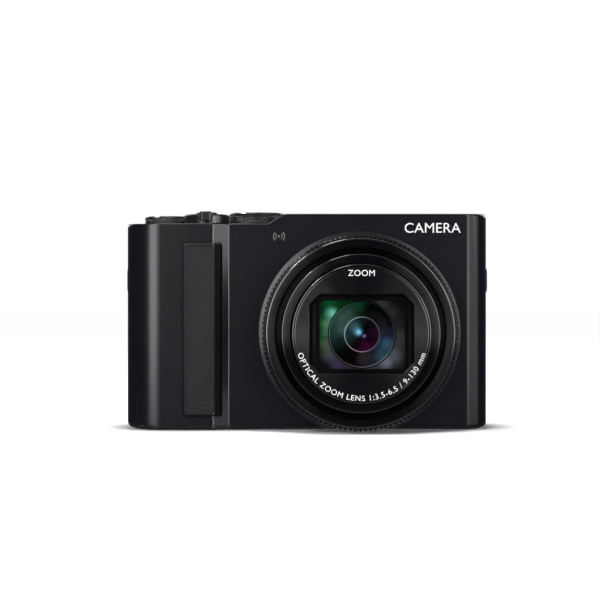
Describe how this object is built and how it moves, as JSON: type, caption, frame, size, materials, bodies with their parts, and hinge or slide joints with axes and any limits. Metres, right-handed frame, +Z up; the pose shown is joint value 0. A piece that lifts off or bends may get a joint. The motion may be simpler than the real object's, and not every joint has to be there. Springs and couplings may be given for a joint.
{
  "type": "compact digital camera",
  "caption": "Compact digital camera with a retracting zoom lens in a ribbed control ring, top dials, a raised grip, a pop-up flash and a rear screen with viewfinder.",
  "frame": {"origin": "mouth centre of the tripod socket in the underside", "axes": "+Z up, the lens points along -Y, +X is to the right seen from the front, the grip is at -X"},
  "size_m": [0.112, 0.0554, 0.0673],
  "materials": {
    "body_paint": "fine matte black paint",
    "lens_black": "satin black anodised",
    "barrier_black": "matte",
    "dial_metal": "black anodised, knurled",
    "black_plastic": "fine texture",
    "grip_rubber": "fine diamond texture",
    "lens_glass": "coated",
    "screen_glass": "glossy",
    "window_plastic": "ribbed diffuser",
    "board": "solder mask",
    "panel": "gloss",
    "steel": "satin",
    "battery_wrap": "wrapped cell"
  },
  "bodies": {
    "camera_body": {"battery": "battery_wrap", "battery_holder": "black_plastic", "bottom_cover": "body_paint", "button_board": "board", "chassis_frame": "steel", "eyecup": "grip_rubber", "eyepiece_lens": "lens_glass", "fixed_barrel": "black_plastic", "flash_capacitor": "battery_wrap", "front_cover": "body_paint", "grip_rubber": "grip_rubber", "hinge_pins": "steel", "image_sensor": "black_plastic", "lcd_panel": "panel", "lens_flange": "lens_black", "main_board": "board", "memory_card": "black_plastic", "rear_cover": "body_paint", "screen_glass": "screen_glass", "screws": "steel", "speaker": "black_plastic", "strap_lugs": "steel", "terminal_ports": "black_plastic", "thumb_rubber": "grip_rubber", "top_cover": "body_paint", "tripod_socket": "steel", "viewfinder_module": "black_plastic", "zoom_motor": "steel"},
    "barrel_1": {"barrel_1": "lens_black"},
    "barrel_2": {"barrel_2": "lens_black", "face_plate": "lens_black", "front_lens_group": "lens_glass"},
    "zoom_group": {"shutter_unit": "black_plastic", "second_lens_group": "lens_glass"},
    "focus_group": {"focus_lens_group": "black_plastic"},
    "blade_upper_lead": {"blade_upper_lead": "barrier_black"},
    "blade_upper_trail": {"blade_upper_trail": "barrier_black"},
    "blade_lower_lead": {"blade_lower_lead": "barrier_black"},
    "blade_lower_trail": {"blade_lower_trail": "barrier_black"},
    "flash_head": {"flash_head": "black_plastic", "flash_window": "window_plastic"},
    "control_ring": {"control_ring": "lens_black"},
    "mode_dial": {"mode_dial": "dial_metal"},
    "control_dial": {"control_dial": "dial_metal"},
    "zoom_lever": {"zoom_lever": "dial_metal"},
    "shutter_button": {"shutter_button": "dial_metal"},
    "power_switch": {"power_switch": "black_plastic"},
    "movie_button": {"movie_button": "black_plastic"},
    "flash_switch": {"flash_switch": "black_plastic"},
    "diopter_dial": {"diopter_dial": "black_plastic"},
    "finder_button": {"finder_button": "black_plastic"},
    "lock_button": {"lock_button": "black_plastic"},
    "playback_button": {"playback_button": "black_plastic"},
    "menu_button": {"menu_button": "black_plastic"},
    "display_button": {"display_button": "black_plastic"},
    "cursor_pad": {"cursor_pad": "black_plastic"},
    "set_button": {"set_button": "black_plastic"},
    "battery_door": {"battery_door": "body_paint"},
    "door_latch": {"door_latch": "black_plastic"},
    "terminal_door": {"terminal_door": "black_plastic"}
  },
  "joints": [
    {"name": "barrel_1_slide", "type": "slide", "parent": "camera_body", "child": "barrel_1", "axis": [0, -1, 0], "range_m": [-0.0041, 0.013]},
    {"name": "barrel_2_slide", "type": "slide", "parent": "barrel_1", "child": "barrel_2", "axis": [0, -1, 0], "range_m": [-0.00616, 0.01951]},
    {"name": "zoom_group_slide", "type": "slide", "parent": "barrel_1", "child": "zoom_group", "axis": [0, -1, 0], "range_m": [-0.0014, 0.00443]},
    {"name": "focus_group_slide", "type": "slide", "parent": "camera_body", "child": "focus_group", "axis": [0, -1, 0], "range_m": [-0.003, 0.0015]},
    {"name": "barrier_slide", "type": "slide", "parent": "barrel_2", "child": "blade_upper_lead", "axis": [0, 0, -1], "range_m": [0, 0.01195]},
    {"name": "blade_upper_trail_slide", "type": "slide", "parent": "barrel_2", "child": "blade_upper_trail", "axis": [0, 0, -1], "range_m": [0, 0.00778]},
    {"name": "blade_lower_lead_slide", "type": "slide", "parent": "barrel_2", "child": "blade_lower_lead", "axis": [0, 0, 1], "range_m": [0, 0.01196]},
    {"name": "blade_lower_trail_slide", "type": "slide", "parent": "barrel_2", "child": "blade_lower_trail", "axis": [0, 0, 1], "range_m": [0, 0.00778]},
    {"name": "control_ring_turn", "type": "hinge", "parent": "camera_body", "child": "control_ring", "pos_m": [0.0161, -0.022, 0.02985], "axis": [0, -1, 0], "continuous": true},
    {"name": "mode_dial_turn", "type": "hinge", "parent": "camera_body", "child": "mode_dial", "pos_m": [-0.0158, 0.001, 0.065], "axis": [0, 0, 1], "continuous": true},
    {"name": "control_dial_turn", "type": "hinge", "parent": "camera_body", "child": "control_dial", "pos_m": [-0.0443, 0.0065, 0.065], "axis": [0, 0, 1], "continuous": true},
    {"name": "zoom_lever_turn", "type": "hinge", "parent": "camera_body", "child": "zoom_lever", "pos_m": [-0.03135, -0.006, 0.065], "axis": [0, 0, 1], "range_deg": [-22, 22], "stiffness_Nm_per_rad": 0.02},
    {"name": "shutter_press", "type": "slide", "parent": "camera_body", "child": "shutter_button", "axis": [0, 0, -1], "range_m": [0, 0.001], "stiffness_N_per_m": 1200, "springref_m": -0.0006},
    {"name": "power_switch_slide", "type": "slide", "parent": "camera_body", "child": "power_switch", "axis": [1, 0, 0], "range_m": [0, 0.0025]},
    {"name": "movie_press", "type": "slide", "parent": "camera_body", "child": "movie_button", "axis": [0, 0, -1], "range_m": [0, 0.0004], "stiffness_N_per_m": 1500, "springref_m": -0.0005},
    {"name": "flash_hinge", "type": "hinge", "parent": "camera_body", "child": "flash_head", "pos_m": [0.015, 0.0032, 0.0636], "axis": [-1, 0, 0], "range_deg": [0, 45]},
    {"name": "flash_switch_slide", "type": "slide", "parent": "camera_body", "child": "flash_switch", "axis": [1, 0, 0], "range_m": [0, 0.0016], "stiffness_N_per_m": 400, "springref_m": -0.0005},
    {"name": "diopter_turn", "type": "hinge", "parent": "camera_body", "child": "diopter_dial", "pos_m": [0.0502, 0.0129, 0.0583], "axis": [0, 0, 1], "range_deg": [-120, 120]},
    {"name": "finder_press", "type": "slide", "parent": "camera_body", "child": "finder_button", "axis": [0, -1, 0], "range_m": [0, 0.0004], "stiffness_N_per_m": 1500, "springref_m": -0.0005},
    {"name": "lock_press", "type": "slide", "parent": "camera_body", "child": "lock_button", "axis": [0, -1, 0], "range_m": [0, 0.0004], "stiffness_N_per_m": 1500, "springref_m": -0.0005},
    {"name": "playback_press", "type": "slide", "parent": "camera_body", "child": "playback_button", "axis": [0, -1, 0], "range_m": [0, 0.0004], "stiffness_N_per_m": 1500, "springref_m": -0.0005},
    {"name": "menu_press", "type": "slide", "parent": "camera_body", "child": "menu_button", "axis": [0, -1, 0], "range_m": [0, 0.0004], "stiffness_N_per_m": 1500, "springref_m": -0.0005},
    {"name": "display_press", "type": "slide", "parent": "camera_body", "child": "display_button", "axis": [0, -1, 0], "range_m": [0, 0.0004], "stiffness_N_per_m": 1500, "springref_m": -0.0005},
    {"name": "cursor_pad_press", "type": "slide", "parent": "camera_body", "child": "cursor_pad", "axis": [0, -1, 0], "range_m": [0, 0.0004], "stiffness_N_per_m": 1500, "springref_m": -0.0005},
    {"name": "set_press", "type": "slide", "parent": "camera_body", "child": "set_button", "axis": [0, -1, 0], "range_m": [0, 0.0004], "stiffness_N_per_m": 1500, "springref_m": -0.0005},
    {"name": "battery_door_hinge", "type": "hinge", "parent": "camera_body", "child": "battery_door", "pos_m": [-0.033, 0.0024, 0.00068], "axis": [1, 0, 0], "range_deg": [0, 90]},
    {"name": "door_latch_slide", "type": "slide", "parent": "battery_door", "child": "door_latch", "axis": [1, 0, 0], "range_m": [0, 0.0025]},
    {"name": "terminal_door_hinge", "type": "hinge", "parent": "camera_body", "child": "terminal_door", "pos_m": [-0.05495, 0.0095, 0.039], "axis": [0, 0, -1], "range_deg": [0, 90]}
  ],
  "couplings": [
    {"joint": "barrel_2_slide", "follows": "barrel_1_slide", "ratio": 1.5},
    {"joint": "zoom_group_slide", "follows": "barrel_1_slide", "ratio": 0.34},
    {"joint": "blade_upper_trail_slide", "follows": "barrier_slide", "ratio": 0.65},
    {"joint": "blade_lower_lead_slide", "follows": "barrier_slide", "ratio": 1},
    {"joint": "blade_lower_trail_slide", "follows": "barrier_slide", "ratio": 0.65}
  ]
}
